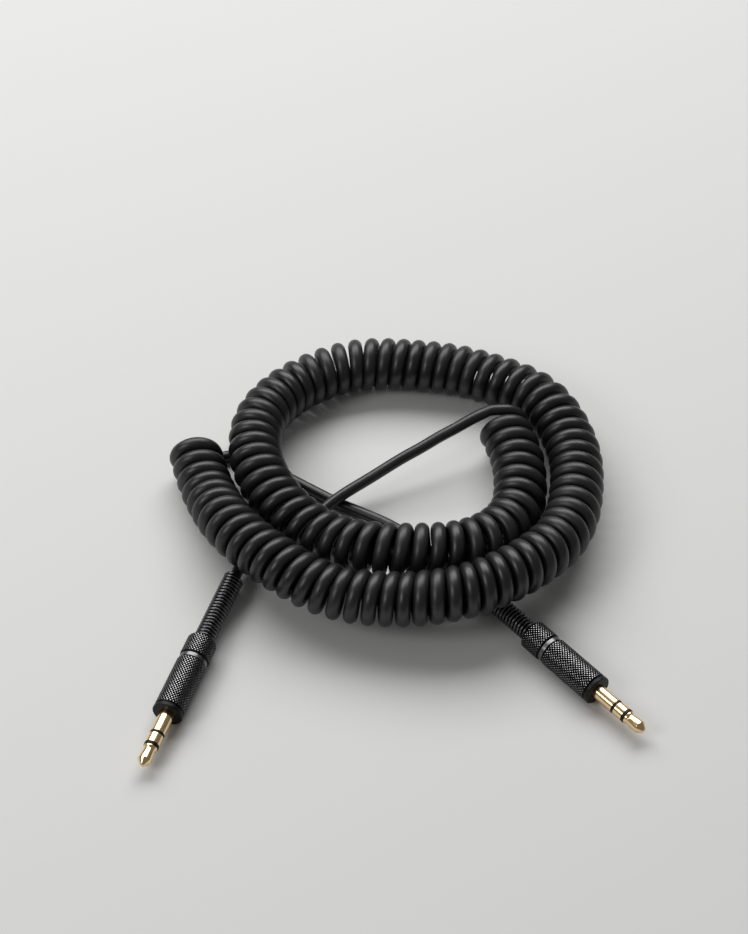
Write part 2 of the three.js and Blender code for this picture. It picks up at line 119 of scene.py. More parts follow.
def spread_colour(material, noise, shader, dark, light, lowest=0.35, highest=0.65):
    """The noise sets the base colour between two colours."""
    ramp = material.node_tree.nodes.new("ShaderNodeValToRGB")
    ramp.color_ramp.elements[0].position = lowest
    ramp.color_ramp.elements[1].position = highest
    ramp.color_ramp.elements[0].color = (*dark, 1)
    ramp.color_ramp.elements[1].color = (*light, 1)
    material.node_tree.links.new(noise.outputs["Fac"], ramp.inputs["Fac"])
    material.node_tree.links.new(ramp.outputs["Color"], shader.inputs["Base Color"])


def spread_roughness(material, noise, shader, low, high, lowest=0.35, highest=0.65):
    """The noise sets the roughness between two values."""
    spread = material.node_tree.nodes.new("ShaderNodeMapRange")
    spread.inputs["From Min"].default_value = lowest
    spread.inputs["From Max"].default_value = highest
    spread.inputs["To Min"].default_value = low
    spread.inputs["To Max"].default_value = high
    material.node_tree.links.new(noise.outputs["Fac"], spread.inputs["Value"])
    material.node_tree.links.new(spread.outputs["Result"], shader.inputs["Roughness"])


def add_bump(material, noise, shader, height, strength=1.0):
    """The noise raises the surface by up to that height."""
    bump = material.node_tree.nodes.new("ShaderNodeBump")
    bump.inputs["Distance"].default_value = height
    bump.inputs["Strength"].default_value = strength
    material.node_tree.links.new(noise.outputs["Fac"], bump.inputs["Height"])
    material.node_tree.links.new(bump.outputs["Normal"], shader.inputs["Normal"])


deselect_all()
bpy.ops.mesh.primitive_plane_add(size=FLOOR_SIZE)
floor = bpy.context.object
floor.name = "surface"
floor_material, floor_shader = new_material("pale_matt_card", FLOOR_COLOUR, roughness=0.7)
card_grain = add_noise(floor_material, scale=900, detail=2)
add_bump(floor_material, card_grain, floor_shader, height=0.02 * MM, strength=0.3)
floor.data.materials.append(floor_material)

for lamp_name, lamp in LAMPS.items():
    light = bpy.data.lights.new(lamp_name, "AREA")
    light.shape = "RECTANGLE"
    light.size, light.size_y = lamp["size"]
    light.energy = lamp["watts"]
    holder = bpy.data.objects.new(lamp_name, light)
    holder.location = lamp["place"]
    holder.rotation_mode = "QUATERNION"
    holder.rotation_quaternion = (Vector(lamp["place"]) - LOOK_AT).to_track_quat("Z", "Y")
    bpy.context.scene.collection.objects.link(holder)

world = bpy.data.worlds.new("room")
bpy.context.scene.world = world
world.use_nodes = True
world.node_tree.nodes["Background"].inputs["Color"].default_value = (1, 1, 1, 1)
world.node_tree.nodes["Background"].inputs["Strength"].default_value = ROOM_STRENGTH


# ---- Where the plugs lie --------------------------------------------------------------------------
# The two plugs are alike. Each lies along its own axis, which the frame gives: x runs forward from
# the pin's root at the collar's face, and the axis is as high as the shell's radius.
SIDES = ("left", "right")
collar_faces = {mount["name"]: mount for mount in frame["record"]["mounts"]}
axis_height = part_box("left_barrel")[1].z / 2


def plug_matrix(side):
    """Turns a plug's own coordinates into the frame's."""
    face = collar_faces[side + "_collar_face"]
    forward = Vector(face["axis"])
    root = Vector((face["pos_m"][0], face["pos_m"][1], axis_height))
    return Matrix.Translation(root) @ forward.to_track_quat("X", "Z").to_matrix().to_4x4()


PLUG_PLACES = {side: plug_matrix(side) for side in SIDES}
LEFT_TO_PLUG = PLUG_PLACES["left"].inverted()


def reach(node):
    """A left plug's node along its axis: rear end, front end, greatest and least radius."""
    corners = [LEFT_TO_PLUG @ corner.co for corner in frame["nodes"]["left_" + node].data.vertices]
    places = [corner.x for corner in corners]
    radii = [math.hypot(corner.y, corner.z) for corner in corners]
    return min(places), max(places), max(radii), min(radii)


def on_axis(x, side):
    return PLUG_PLACES[side] @ Vector((x, 0, 0))


# ---- The cord -------------------------------------------------------------------------------------
# One cord in a soft black jacket. Its middle was wound on a rod and set by heat into 95.5 curls that
# touch, where the jacket is fuller; its straight ends run under the windings into the plugs.
CURL_STRAND = 3.5 * MM
TAIL_STRAND = 2.8 * MM
CLAMPED_STRAND = 2.7 * MM  # inside a plug, in the spring and the clamp
CURL_DIAMETER = 13.1 * MM
CURLS = 95.5
CURL_STEPS = 32  # on each curl
COUNTING_STEPS = 100  # between two points of the route
STRAND_STEPS = 6  # Blender's bevel steps on each quarter of the round cord
TAPER_CURLS = 0.4  # the part of a curl over which the strand thins to the tail's
TAIL_STEP = 1.2 * MM
TAIL_SAMPLES = 1200  # places worked out on a tail, of which those a TAIL_STEP apart are kept
STEPS_INSIDE = 4  # from a tail's place behind its spring to the jacket's end in the clamp
SPRING_TRAVEL = 2 * MM
END_GAP = 0.3 * MM
STRAIGHT_START = 3 * MM  # how far a tail runs straight on from the curls
SOLID_CORD = 2.7 * MM  # the thickness of the solid cord that lies along the same route

# The middle line of the curls, from the outer end on the left to the inner end on the right.
CURLY_ROUTE = [
    (-48.3, 64.1, 6.8), (-44.0, 50.2, 7.1), (-37.8, 36.2, 10.7), (-27.2, 24.7, 11.7),
    (-14.7, 17.2, 10.65), (0.2, 14.0, 11.2), (15.7, 14.7, 13.0), (29.5, 21.6, 13.2),
    (40.1, 33.6, 11.1), (44.2, 48.5, 9.2), (44.0, 66.2, 7.0), (36.9, 81.6, 6.8),
    (21.5, 90.2, 6.75), (6.5, 93.3, 6.9), (-9.5, 93.2, 6.95), (-23.9, 85.8, 6.95),
    (-32.3, 72.3, 9.1), (-32.4, 56.6, 10.6), (-25.4, 42.6, 10.0), (-14.6, 32.9, 10.35),
    (-0.4, 27.6, 12.7), (18.0, 30.0, 11.65), (29.0, 41.8, 8.35), (30.9, 58.5, 7.1),
    (27.2, 73.3, 7.15),
]

# How far apart the curls lie at each of those points, in proportion to each other. They are closer
# at the front and at the back, where the lead was pushed together.
CURL_SPACING = [
    4.00, 4.10, 3.80, 3.58, 3.78, 3.72, 3.52, 3.75, 4.15, 4.30, 4.20, 4.20, 3.80,
    3.62, 3.85, 4.15, 4.10, 3.65, 4.10, 4.35, 3.80, 4.10, 4.80, 4.30, 3.90,
]

# Each tail from where it leaves the curls to just short of its plug's spring.
TAIL_ROUTES = {
    "left": [
        (21.6, 71.1, 12.4), (19.2, 69.9, 11.9), (15.5, 67.9, 11.0), (11.8, 65.8, 10.4),
        (6.9, 62.9, 9.3), (2.0, 60.3, 8.1), (-5.1, 56.1, 6.2), (-12.2, 51.6, 4.7),
        (-17.5, 47.5, 3.1), (-22.9, 42.8, 1.6), (-28.3, 38.1, 1.6), (-33.1, 33.4, 2.2),
    ],
    "right": [
        (-38.1, 67.7, 1.5), (-32.1, 64.7, 1.5), (-25.9, 60.5, 1.5), (-19.7, 56.3, 1.5),
        (-13.3, 52.1, 1.5), (-6.7, 48.5, 1.5), (-0.3, 44.7, 1.5), (5.9, 39.5, 1.5),
        (11.3, 33.9, 1.9),
    ],
}

curl_radius = (CURL_DIAMETER - CURL_STRAND) / 2
curly_points = [Vector(point) * MM for point in CURLY_ROUTE]
spring_rear = reach("spring")[0]
straight_end = spring_rear - SPRING_TRAVEL - END_GAP
jacket_end = reach("tail")[1]


def on_smooth_line(points, share):
    """The place and direction at a share of a smooth line that runs evenly from point to point."""
    spans = len(points) - 1
    span = min(int(share * spans), spans - 1)
    t = share * spans - span
    start, end = points[span], points[span + 1]
    before = points[span - 1] if span > 0 else 2 * start - end
    after = points[span + 2] if span + 2 <= spans else 2 * end - start
    leave = (end - before) / 2
    arrive = (after - start) / 2
    bend = 3 * (end - start) - 2 * leave - arrive
    swing = 2 * (start - end) + leave + arrive
    place = start + t * (leave + t * (bend + t * swing))
    return place, (leave + t * (2 * bend + 3 * t * swing)).normalized()


def count_curls():
    """How many curls there are up to each of many even steps along the route."""
    steps = COUNTING_STEPS * (len(CURLY_ROUTE) - 1)
    counts = [0]
    before = curly_points[0]
    for step in range(1, steps + 1):
        place, _ = on_smooth_line(curly_points, step / steps)
        point, part = divmod((step - 0.5) / COUNTING_STEPS, 1)
        near, far = CURL_SPACING[int(point)], CURL_SPACING[int(point) + 1]
        counts.append(counts[-1] + (place - before).length / (near + (far - near) * part))
        before = place
    return [count * CURLS / counts[-1] for count in counts]


curl_counts = count_curls()


def on_curl(curl):
    """The cord's middle after a number of curls, which start at the bottom and wind left-handed."""
    step = min(max(bisect.bisect_left(curl_counts, curl), 1), len(curl_counts) - 1)
    part = (curl - curl_counts[step - 1]) / (curl_counts[step] - curl_counts[step - 1])
    place, along = on_smooth_line(curly_points, (step - 1 + part) / (len(curl_counts) - 1))
    aside = along.cross(Vector((0, 0, 1))).normalized()
    over = aside.cross(along)
    angle = math.pi + 2 * math.pi * curl
    return place + (over * math.cos(angle) - aside * math.sin(angle)) * curl_radius


def curl_strand(curl):
    """The jacket's thickness on the curls, which thins towards their two ends."""
    from_end = min(curl, CURLS - curl) / TAPER_CURLS
    share = min(from_end, 1)
    return TAIL_STRAND + (CURL_STRAND - TAIL_STRAND) * share * share * (3 - 2 * share)


def tail_points(side, curls_end, out_of_curls):
    """The tail's middle line, from where the curls end to the clamp in its plug."""
    points = [curls_end, curls_end + out_of_curls * STRAIGHT_START]
    points += [Vector(point) * MM for point in TAIL_ROUTES[side]]
    points.append(on_axis(straight_end - SOLID_CORD, side))
    for step in range(STEPS_INSIDE + 1):
        points.append(on_axis(straight_end + (jacket_end - straight_end) * step / STEPS_INSIDE, side))
    line = [points[0]]
    for step in range(1, TAIL_SAMPLES + 1):
        place, _ = on_smooth_line(points, step / TAIL_SAMPLES)
        if (place - line[-1]).length >= TAIL_STEP or step == TAIL_SAMPLES:
            line.append(place)
    return line


def tail_strand(side, place):
    """The jacket's thickness on a tail, which its spring and clamp hold a little tighter."""
    x = (PLUG_PLACES[side].inverted() @ place).x
    inside = min(max((x - straight_end) / SPRING_TRAVEL, 0), 1)
    return TAIL_STRAND + (CLAMPED_STRAND - TAIL_STRAND) * inside


curl_count = round(CURLS * CURL_STEPS)
curls = [on_curl(step / CURL_STEPS) for step in range(curl_count + 1)]
SMALL_TURN = 0.01
out_at_start = (on_curl(0) - on_curl(SMALL_TURN)).normalized()
out_at_end = (on_curl(CURLS) - on_curl(CURLS - SMALL_TURN)).normalized()
left_tail = tail_points("left", curls[-1], out_at_end)
right_tail = tail_points("right", curls[0], out_at_start)

cord_line = [(place, tail_strand("left", place)) for place in reversed(left_tail)]
for step in range(curl_count - 1, 0, -1):
    cord_line.append((curls[step], curl_strand(step / CURL_STEPS)))
cord_line += [(place, tail_strand("right", place)) for place in right_tail]

cord_curve = bpy.data.curves.new("cord", "CURVE")
cord_curve.dimensions = "3D"
cord_curve.bevel_depth = CURL_STRAND / 2
cord_curve.bevel_resolution = STRAND_STEPS
cord_curve.use_fill_caps = True
spline = cord_curve.splines.new("POLY")
spline.points.add(len(cord_line) - 1)
for spline_point, (place, strand) in zip(spline.points, cord_line):
    spline_point.co = (*place, 1)
    spline_point.radius = strand / CURL_STRAND
cord = bpy.data.objects.new("cord", cord_curve)
bpy.context.scene.collection.objects.link(cord)

cord_material, cord_shader = new_material("satin_black_jacket", (0.008, 0.008, 0.009), ior=1.56)
jacket_cloud = add_noise(cord_material, scale=90, detail=3)
spread_colour(cord_material, jacket_cloud, cord_shader, (0.006, 0.006, 0.007), (0.010, 0.010, 0.011))
spread_roughness(cord_material, jacket_cloud, cord_shader, 0.36, 0.44)
jacket_grain = add_noise(cord_material, scale=2600, detail=2)
add_bump(cord_material, jacket_grain, cord_shader, height=0.02 * MM, strength=0.4)
cord_curve.materials.append(cord_material)

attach(cord, "lead")
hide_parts("curly_cord", "left_tail", "right_tail")


# ---- The front collar -----------------------------------------------------------------------------
# A disc of black moulded plastic that the pin stands out of, with a softly rounded front edge. It is
# clamped between the barrel's mouth and the pin's shoulder, and is the stop against a socket.
ROUND_FACETS = 64
WELD = 0.001 * MM
NEARLY_NONE = 0.0001 * MM  # the radius of a ring that is to close to a point
COLLAR_EDGE = 0.15 * MM
COLLAR_EASE = 0.05 * MM
SMOOTH_ANGLE = math.radians(35)


def extend(stations, x, radius):
    """Extrudes the selected ring from (x, radius) through the stations, each (x, radius)."""
    for next_x, next_radius in stations:
        next_radius = max(next_radius, NEARLY_NONE)
        bpy.ops.mesh.extrude_region_move(TRANSFORM_OT_translate={"value": (next_x - x, 0, 0)})
        growth = next_radius / radius
        bpy.ops.transform.resize(value=(1, growth, growth), center_override=(next_x, 0, 0))
        x, radius = next_x, next_radius


def draw_out(stations, facets):
    """Starts a ring of points round the plug's axis at the first station and extends it through the
    others. The mesh is left open, in edit mode."""
    deselect_all()
    x, radius = stations[0]
    radius = max(radius, NEARLY_NONE)
    bpy.ops.mesh.primitive_circle_add(
        vertices=facets, radius=radius, location=(x, 0, 0), rotation=(0, math.pi / 2, 0))
    bpy.ops.object.transform_apply(location=True, rotation=True, scale=True)
    bpy.context.tool_settings.mesh_select_mode = (True, False, False)
    bpy.ops.object.mode_set(mode="EDIT")
    extend(stations[1:], x, radius)


def close_shape(name):
    """Welds the rings that meet, turns every face outwards and leaves edit mode."""
    bpy.ops.mesh.select_all(action="SELECT")
    bpy.ops.mesh.remove_doubles(threshold=WELD)
    bpy.ops.mesh.normals_make_consistent(inside=False)
    bpy.ops.object.mode_set(mode="OBJECT")
    piece = bpy.context.object
    piece.name = name
    return piece


def turned(name, stations, facets=ROUND_FACETS):
    """A piece turned on a lathe, from the (x, radius) stations round its section."""
    draw_out(stations, facets)
    return close_shape(name)


def ease_edges(piece, width, segments=2):
    """Rounds every sharp edge a little, as a tool or a mould leaves it."""
    bevel = piece.modifiers.new("eased_edges", "BEVEL")
    bevel.width = width
    bevel.segments = segments
    bevel.limit_method = "ANGLE"
    bevel.angle_limit = SMOOTH_ANGLE
    apply_modifier(piece, bevel)


def apply_modifier(piece, modifier):
    deselect_all()
    piece.select_set(True)
    bpy.context.view_layer.objects.active = piece
    bpy.ops.object.modifier_apply(modifier=modifier.name)


def shade(piece, angle=SMOOTH_ANGLE):
    """Smooth shading that is sharp at corners, and in which the eased edges don't tilt the faces."""
    deselect_all()
    piece.select_set(True)
    bpy.context.view_layer.objects.active = piece
    bpy.ops.object.shade_smooth_by_angle(angle=angle)
    # Faces of less than a square millimetre count for nothing here, so the mesh is enlarged for it.
    piece.data.transform(Matrix.Scale(1 / MM, 4))
    large_faces_first = piece.modifiers.new("large_faces_first", "WEIGHTED_NORMAL")
    large_faces_first.keep_sharp = True
    apply_modifier(piece, large_faces_first)
    piece.data.transform(Matrix.Scale(MM, 4))


def map_turning(piece):
    """A map for tool marks: the place along the axis in millimetres, and the turn about it."""
    layer = piece.data.uv_layers.new(name="turning")
    for face in piece.data.polygons:
        middle = math.atan2(face.center.z, face.center.y)
        for loop in face.loop_indices:
            corner = piece.data.vertices[piece.data.loops[loop].vertex_index].co
            turn = math.atan2(corner.z, corner.y)
            turn += 2 * math.pi * round((middle - turn) / (2 * math.pi))
            layer.data[loop].uv = (corner.x / MM, turn)


def put_on_plugs(piece, node, body):
    """Puts a copy of the piece, with a mesh of its own, in each plug in place of its solid."""
    for side in SIDES:
        copy = piece.copy()
        copy.data = piece.data.copy()
        copy.name = f"{side}_{piece.name}"
        copy.data.transform(PLUG_PLACES[side])
        bpy.context.scene.collection.objects.link(copy)
        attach(copy, "lead" if body == "lead" else f"{side}_{body}")
        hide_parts(f"{side}_{node}")
    bpy.data.objects.remove(piece)


plastic_material, plastic_shader = new_material("black_moulded_plastic", (0.005, 0.005, 0.005), ior=1.3)
plastic_cloud = add_noise(plastic_material, scale=600, detail=3)
spread_colour(plastic_material, plastic_cloud, plastic_shader, (0.004, 0.004, 0.004), (0.006, 0.006, 0.006))
spread_roughness(plastic_material, plastic_cloud, plastic_shader, 0.38, 0.5)
plastic_grain = add_noise(plastic_material, scale=9000, detail=2)
add_bump(plastic_material, plastic_grain, plastic_shader, height=0.008 * MM, strength=0.5)

collar_rear, collar_front, collar_radius, collar_bore = reach("front_collar")
collar = turned("collar_disc", [
    (collar_rear, collar_bore),
    (collar_rear, collar_radius),
    (collar_front - COLLAR_EDGE, collar_radius),
    (collar_front, collar_radius - COLLAR_EDGE),
    (collar_front, collar_bore),
    (collar_rear, collar_bore),
])
ease_edges(collar, COLLAR_EASE)
shade(collar)
collar.data.materials.append(plastic_material)
put_on_plugs(collar, "front_collar", "lead")


# ---- The pin's sleeve -----------------------------------------------------------------------------
# The ground contact, turned from brass in one piece with the threaded spigot that the barrel screws
# on, and gold plated. A strip with a clamp for the cord's jacket runs back from behind the spigot.
PIN_RADIUS = 1.75 * MM
SLEEVE_BORE = 1.5 * MM  # its radius
SLEEVE_LENGTH = 5.7 * MM
SPIGOT_LENGTH = 3.9 * MM
FIT = 0.1 * MM
THREAD_PITCH = 0.5 * MM
THREAD_DEPTH = 0.16 * MM
STRIP_WIDTH = 1.4 * MM
STRIP_THICKNESS = 0.25 * MM
CLAMP_WALL = 0.45 * MM
CLAMP_LENGTH = 3 * MM
CLAMP_OPENING = math.radians(70)
FINE_EDGE = 0.04 * MM
FACES_THAT_WAY = 0.9  # a face's normal along a direction, at which the face counts as facing there


def pick_faces(piece, wanted):
    """Selects the faces that the test picks, and goes into edit mode."""
    bpy.ops.object.mode_set(mode="OBJECT")
    bpy.context.tool_settings.mesh_select_mode = (False, False, True)
    for part in (*piece.data.vertices, *piece.data.edges):
        part.select = False
    for face in piece.data.polygons:
        face.select = wanted(face)
    bpy.ops.object.mode_set(mode="EDIT")


def push_out(piece, wanted, move):
    """Extrudes the faces that the test picks."""
    pick_faces(piece, wanted)
    bpy.ops.mesh.extrude_region_move(TRANSFORM_OT_translate={"value": move})


def block(low, high):
    """A bar between its lowest and highest corners."""
    deselect_all()
    low, high = Vector(low), Vector(high)
    bpy.ops.mesh.primitive_cube_add(size=1, location=(low + high) / 2, scale=high - low)
    bpy.ops.object.transform_apply(location=True, rotation=True, scale=True)
    return bpy.context.object


def combine(piece, other, operation="UNION"):
    """Fuses another closed shape with the piece, or cuts it out of the piece."""
    change = piece.modifiers.new("combined", "BOOLEAN")
    change.operation = operation
    change.solver = "EXACT"
    change.object = other
    apply_modifier(piece, change)
    bpy.data.objects.remove(other)


gold_material, gold_shader = new_material("gold_plate", (0.94, 0.69, 0.39), metallic=1.0)
turning_lines = add_noise(gold_material, scale=30, detail=3, coordinates="UV", stretch=(1, 0, 0))
spread_colour(gold_material, turning_lines, gold_shader, (0.92, 0.66, 0.36), (0.96, 0.72, 0.42))
spread_roughness(gold_material, turning_lines, gold_shader, 0.13, 0.22)
add_bump(gold_material, turning_lines, gold_shader, height=0.002 * MM, strength=0.15)

spigot_front = collar_rear - FIT
spigot_rear = spigot_front - SPIGOT_LENGTH
spigot_radius = reach("barrel")[3] - FIT
thread_root = spigot_radius - THREAD_DEPTH
_, insulator_front, washer_radius, _ = reach("ring_insulator")
lug_rear = reach("tip_contact")[0]
clamp_front = jacket_end - END_GAP
clamp_radius = SOLID_CORD / 2 + FIT + CLAMP_WALL
half_strip = STRIP_WIDTH / 2
strip_top = -washer_radius - FIT
rear_strip_top = STRIP_THICKNESS - clamp_radius

sleeve_section = [(spigot_rear, SLEEVE_BORE), (spigot_rear, thread_root)]
for ridge in range(int(SPIGOT_LENGTH / THREAD_PITCH)):
    ridge_rear = spigot_rear + ridge * THREAD_PITCH
    sleeve_section.append((ridge_rear + THREAD_PITCH / 2, spigot_radius))
    sleeve_section.append((ridge_rear + THREAD_PITCH, thread_root))
sleeve_section += [
    (spigot_front, thread_root),
    (spigot_front, PIN_RADIUS),
    (SLEEVE_LENGTH, PIN_RADIUS),
    (SLEEVE_LENGTH, SLEEVE_BORE),
    (spigot_rear, SLEEVE_BORE),
]
sleeve = turned("pin_sleeve", sleeve_section)
ease_edges(sleeve, FINE_EDGE)

# The strip steps up behind the lugs to run along the underside of the jacket.
strip = block(
    (lug_rear, -half_strip, strip_top - STRIP_THICKNESS), (spigot_rear + FIT, half_strip, strip_top))
push_out(strip, lambda face: face.normal.x < -FACES_THAT_WAY, (-STRIP_THICKNESS, 0, 0))
step_up = rear_strip_top - STRIP_THICKNESS - strip_top
for rise in (step_up, STRIP_THICKNESS):
    push_out(
        strip, lambda face: face.normal.z > FACES_THAT_WAY and face.center.x < lug_rear, (0, 0, rise))
strip_length = clamp_front - CLAMP_LENGTH - lug_rear + STRIP_THICKNESS
push_out(
    strip,
    lambda face: face.normal.x < -FACES_THAT_WAY and face.center.z > rear_strip_top - STRIP_THICKNESS,
    (strip_length, 0, 0))
bpy.ops.object.mode_set(mode="OBJECT")

# The clamp is bent round the jacket and open at the top.
draw_out([(clamp_front - CLAMP_LENGTH, clamp_radius), (clamp_front, clamp_radius)], ROUND_FACETS)
clamp = close_shape("clamp")
pick_faces(clamp, lambda face: abs(math.atan2(face.center.y, face.center.z)) < CLAMP_OPENING / 2)
bpy.ops.mesh.delete(type="FACE")
bpy.ops.object.mode_set(mode="OBJECT")
clamp_wall = clamp.modifiers.new("wall", "SOLIDIFY")
clamp_wall.thickness = CLAMP_WALL
clamp_wall.offset = -1
apply_modifier(clamp, clamp_wall)

combine(strip, clamp)
combine(sleeve, strip)
shade(sleeve)
map_turning(sleeve)
sleeve.data.materials.append(gold_material)
put_on_plugs(sleeve, "sleeve_contact", "lead")


# ---- The ring and its insulators ------------------------------------------------------------------
# Two coaxial gold plated contacts lie inside the sleeve, kept apart by black plastic tubes with
# washers at the rear. The tubes show on the pin as two black rings, and the lugs are for the wires.
INSULATOR_WIDTH = 0.6 * MM
WASHER_THICKNESS = 0.5 * MM
RING_TUBE_RADIUS = 1.1 * MM
OUTER_TUBE_RADIUS = 1.4 * MM
INNER_TUBE_RADIUS = 0.75 * MM
LUG_WIDTH = 1 * MM
LUG_LENGTH = 3 * MM
LUG_INSIDE = 1.5 * MM
LUG_OUTSIDE = 1.8 * MM
LUG_HOLE = 0.45 * MM  # across
HOLE_FACETS = 24


def insulator(name, node, tube_radius):
    """A tube with a washer at the rear and the ring that shows on the pin at the front."""
    rear, front, washer, bore = reach(node)
    piece = turned(name, [
        (rear, bore),
        (rear, washer),
        (rear + WASHER_THICKNESS, washer),
        (rear + WASHER_THICKNESS, tube_radius),
        (front - INSULATOR_WIDTH, tube_radius),
        (front - INSULATOR_WIDTH, PIN_RADIUS),
        (front, PIN_RADIUS),
        (front, bore),
        (rear, bore),
    ])
    ease_edges(piece, FINE_EDGE)
    shade(piece)
    piece.data.materials.append(plastic_material)
    put_on_plugs(piece, node, "lead")


insulator("outer_insulator", "ring_insulator", OUTER_TUBE_RADIUS)
insulator("inner_insulator", "tip_insulator", INNER_TUBE_RADIUS)

ring_rear = insulator_front + FIT
ring_front = reach("ring_contact")[1]
ring_bore = INNER_TUBE_RADIUS + FIT
ring_washer_rear = reach("ring_contact")[0] + LUG_LENGTH
ring_washer_radius = LUG_OUTSIDE + FIT
ring = turned("pin_ring", [
    (ring_washer_rear, ring_bore),
    (ring_washer_rear, ring_washer_radius),
    (ring_washer_rear + WASHER_THICKNESS, ring_washer_radius),
    (ring_washer_rear + WASHER_THICKNESS, RING_TUBE_RADIUS),
    (ring_rear, RING_TUBE_RADIUS),
    (ring_rear, PIN_RADIUS),
    (ring_front, PIN_RADIUS),
    (ring_front, ring_bore),
    (ring_washer_rear, ring_bore),
])
ease_edges(ring, FINE_EDGE)
lug = block(
    (ring_washer_rear - LUG_LENGTH, LUG_INSIDE, -LUG_WIDTH / 2),
    (ring_washer_rear + WASHER_THICKNESS / 2, LUG_OUTSIDE, LUG_WIDTH / 2))
lug_hole_x = ring_washer_rear - LUG_LENGTH + LUG_WIDTH / 2
deselect_all()
bpy.ops.mesh.primitive_cylinder_add(
    vertices=HOLE_FACETS, radius=LUG_HOLE / 2, depth=LUG_OUTSIDE, rotation=(math.pi / 2, 0, 0),
    location=(lug_hole_x, (LUG_INSIDE + LUG_OUTSIDE) / 2, 0))
combine(lug, bpy.context.object, "DIFFERENCE")
combine(ring, lug)
shade(ring)
map_turning(ring)
ring.data.materials.append(gold_material)
put_on_plugs(ring, "ring_contact", "lead")


# ---- The pin's tip --------------------------------------------------------------------------------
# The innermost contact, a gold plated brass rod that runs the whole length of the pin. A flange, a
# waist and a blunt cone at its front end give the shape that a socket's spring clicks behind.
ROD_RADIUS = 0.4 * MM
SHOULDER_RADIUS = 1 * MM
# From the flange's rear edge forward: the distance in front of it, and the radius there.
TIP_OUTLINE = [
    (0, 1.6), (0.42, 1.6), (0.55, 1.52), (0.68, 1.37), (0.85, 1.34), (1.0, 1.38), (2.3, 1.5),
    (3.65, 1.6), (3.75, 1.58), (4.95, 0.68), (5.12, 0.5), (5.24, 0.28), (5.3, 0),
]

tip_lug_rear, tip_front, _, _ = reach("tip_contact")
tip_flange_rear = tip_front - TIP_OUTLINE[-1][0] * MM
shoulder_rear = ring_washer_rear - 2 * (FIT + WASHER_THICKNESS)
tip = turned("pin_tip", [
    (tip_lug_rear, 0),
    (tip_lug_rear, ROD_RADIUS),
    (shoulder_rear, ROD_RADIUS),
    (shoulder_rear, SHOULDER_RADIUS),
    (shoulder_rear + WASHER_THICKNESS, SHOULDER_RADIUS),
    (shoulder_rear + WASHER_THICKNESS, ROD_RADIUS),
    (tip_flange_rear, ROD_RADIUS),
    *((tip_flange_rear + x * MM, radius * MM) for x, radius in TIP_OUTLINE),
])
ease_edges(tip, FINE_EDGE)
shade(tip)
map_turning(tip)
tip.data.materials.append(gold_material)
put_on_plugs(tip, "tip_contact", "lead")


# ---- The barrel -----------------------------------------------------------------------------------
# A black anodised aluminium tube that screws on the spigot, with its bore left plain. Its outside is
# rolled with a diamond knurl for grip, whose points are lighter metal as a painted glint, and the mouth
# is chamfered.
KNURLS_ROUND = 30
KNURL_PITCH = 0.85 * MM  # along the axis
KNURL_FLANK = (0.07 * MM, 0.13 * MM)  # how far in and up from the groove
KNURL_SHOULDER = (0.1 * MM, 0.06 * MM)  # and on from there to the top, which is painted lighter as a glint
KNURL_DEPTH = KNURL_FLANK[1] + KNURL_SHOULDER[1]
KNURL_SMOOTH_ANGLE = math.radians(80)  # rounds each point, but not the grooves between them
ON_THE_OUTSIDE = 0.98  # of the radius, beyond which a face or edge counts as outside
MOUTH_CHAMFER = 0.3 * MM


def knurled_rows(front, rear, radius):
    """The stations of a knurled stretch, half a diamond apart, each turned by half a diamond."""
    rows = round((front - rear) / (KNURL_PITCH / 2))
    step = (front - rear) / rows
    return [(front - row * step, radius) for row in range(1, rows + 1)]


def turned_and_knurled(name, before, knurled, after):
    """A turned piece with a stretch of diamonds between its plain stations."""
    draw_out(before, KNURLS_ROUND)
    x, radius = before[-1]
    for next_x, _ in knurled:
        bpy.ops.mesh.extrude_region_move(TRANSFORM_OT_translate={"value": (next_x - x, 0, 0)})
        bpy.ops.transform.rotate(
            value=math.pi / KNURLS_ROUND, orient_axis="X", center_override=(next_x, 0, 0))
        x = next_x
    extend(after, x, radius)
    piece = close_shape(name)
    front, rear = before[-1][0], knurled[-1][0]

    def in_stretch(face):
        from_axis = math.hypot(face.center.y, face.center.z)
        return rear < face.center.x < front and from_axis > radius * ON_THE_OUTSIDE

    pick_faces(piece, in_stretch)
    bpy.ops.mesh.quads_convert_to_tris(quad_method="SHORTEST_DIAGONAL")
    bpy.ops.object.mode_set(mode="OBJECT")

    # The edges that run round the piece go, which leaves the diamonds.
    bpy.context.tool_settings.mesh_select_mode = (False, True, False)
    corners = piece.data.vertices
    for part in (*corners, *piece.data.polygons):
        part.select = False
    for edge in piece.data.edges:
        one, other = (corners[corner].co for corner in edge.vertices)
        within = rear + WELD < one.x < front - WELD
        outside = math.hypot(one.y, one.z) > radius * ON_THE_OUTSIDE
        edge.select = within and outside and abs(one.x - other.x) < WELD
    bpy.ops.object.mode_set(mode="EDIT")
    bpy.ops.mesh.dissolve_edges(use_verts=False)

    piece.data.materials.append(anodised_material)
    piece.data.materials.append(glinting_points_material)
    pick_faces(piece, lambda face: in_stretch(face) and len(face.vertices) == 4)
    for inward, upward in (KNURL_FLANK, KNURL_SHOULDER):
        bpy.ops.mesh.inset(thickness=inward, depth=upward, use_individual=True)
    # The tops left by the insets get the lighter metal, a painted glint on each point.
    piece.active_material_index = 1
    bpy.ops.object.material_slot_assign()
    bpy.ops.object.mode_set(mode="OBJECT")
    shade(piece, KNURL_SMOOTH_ANGLE)
    return piece


anodised_material, anodised_shader = new_material("black_anodised", (0.01, 0.01, 0.0105), metallic=0.9)
anodised_cloud = add_noise(anodised_material, scale=700, detail=3)
spread_colour(
    anodised_material, anodised_cloud, anodised_shader, (0.008, 0.008, 0.0085), (0.014, 0.014, 0.015))
spread_roughness(anodised_material, anodised_cloud, anodised_shader, 0.26, 0.36)
